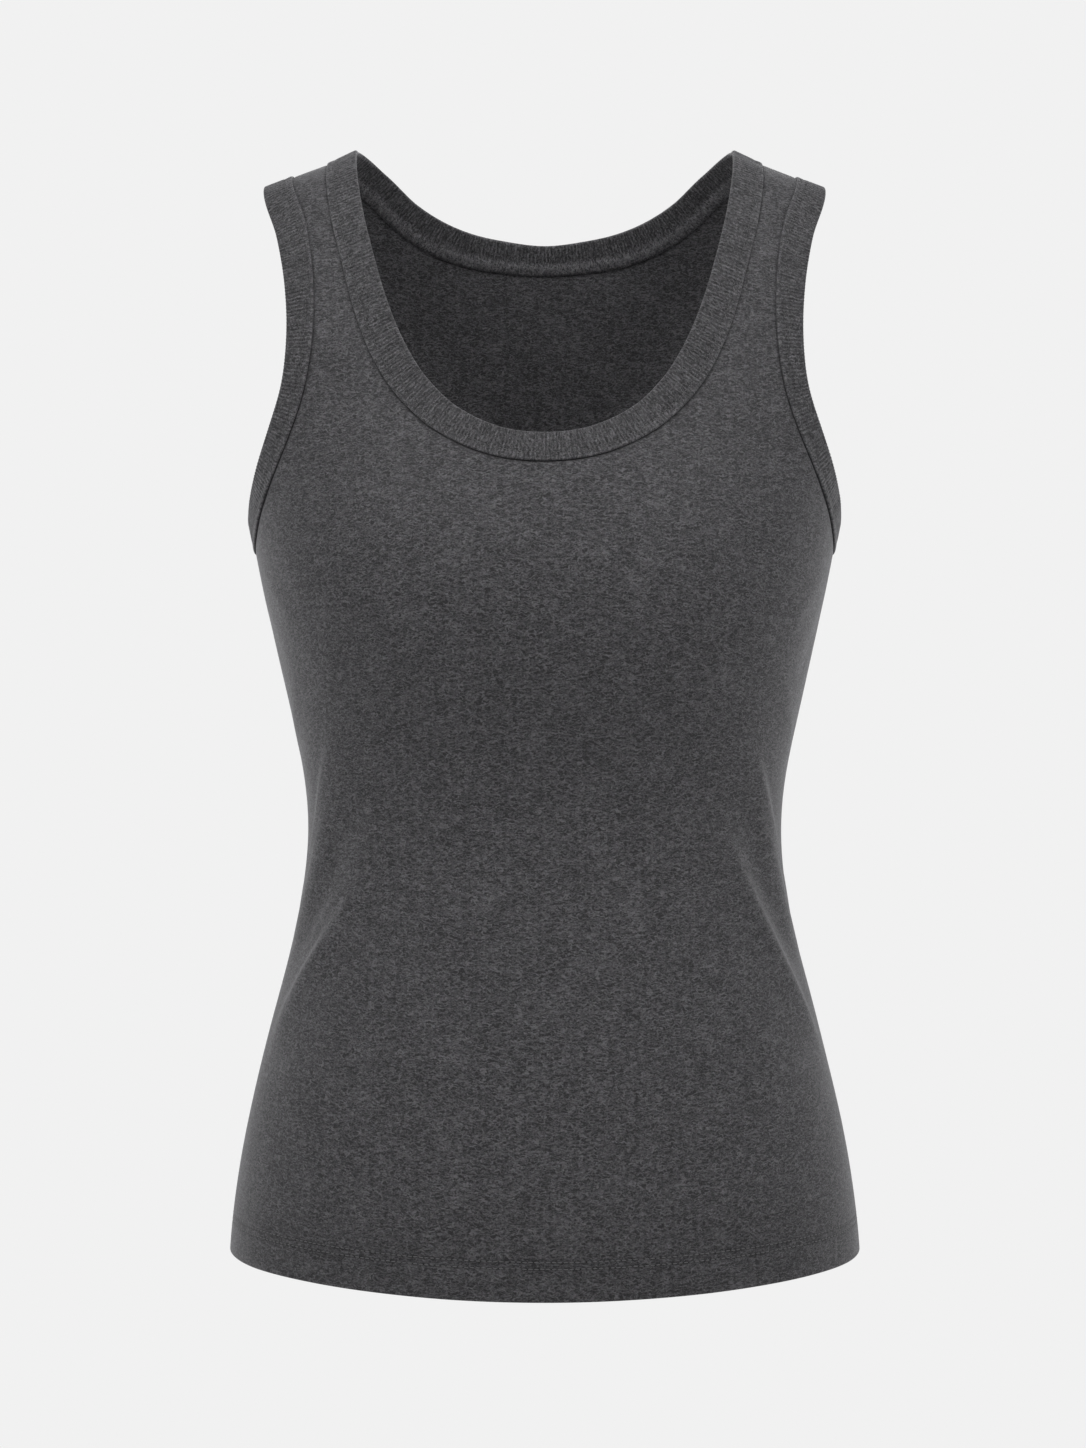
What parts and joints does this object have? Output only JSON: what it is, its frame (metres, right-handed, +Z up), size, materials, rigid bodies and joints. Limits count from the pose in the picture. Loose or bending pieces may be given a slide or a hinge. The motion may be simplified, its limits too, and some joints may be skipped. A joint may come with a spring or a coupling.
{
  "type": "tank top",
  "caption": "Fitted scoop-neck tank top, worn form with no wearer, with bound neck and armholes and a turned-up hem.",
  "frame": {"origin": "midway between the two points where the straps rest on the wearer's shoulders", "axes": "+X to the right as seen from the front, +Y to the back, +Z up"},
  "size_m": [0.3292, 0.2369, 0.5761],
  "materials": {
    "jersey": "matte charcoal heather jersey",
    "rib": "matte charcoal heather rib, folded double"
  },
  "bodies": {
    "root": {"front_panel": "jersey", "back_panel": "jersey", "neck_binding": "rib", "armhole_binding_left": "rib", "armhole_binding_right": "rib"}
  },
  "joints": []
}
